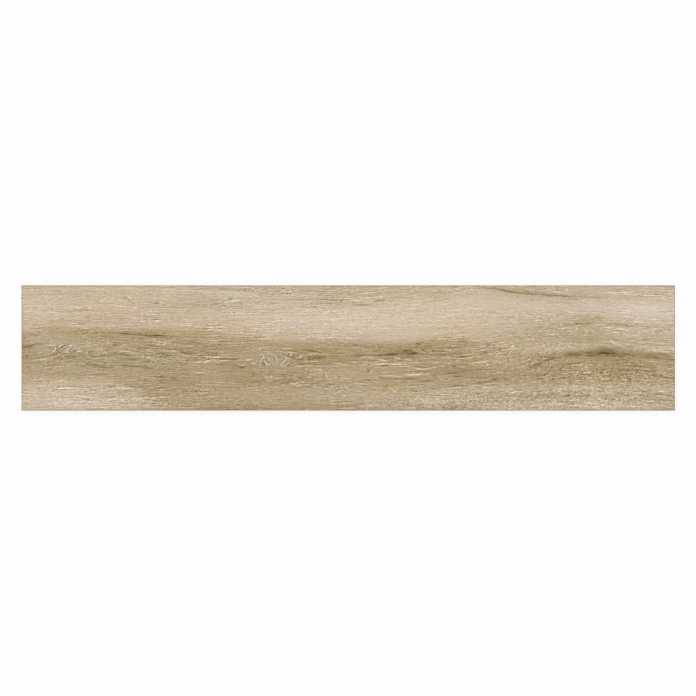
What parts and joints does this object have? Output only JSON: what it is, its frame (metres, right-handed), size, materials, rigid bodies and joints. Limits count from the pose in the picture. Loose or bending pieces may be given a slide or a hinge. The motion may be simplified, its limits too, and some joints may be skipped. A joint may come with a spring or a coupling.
{
  "type": "wood look porcelain plank tile",
  "caption": "Long flat ceramic plank for floors and walls, with a printed wood grain face, ground and bevelled edges and a ribbed back that keys into adhesive.",
  "frame": {"origin": "middle of the plane that the ribs on the back bear on", "axes": "+X along the plank, +Y across it, +Z out of the printed face"},
  "size_m": [1.2, 0.23, 0.0095],
  "materials": {
    "porcelain": "matte"
  },
  "bodies": {
    "root": {"plank_tile": "porcelain"}
  },
  "joints": []
}
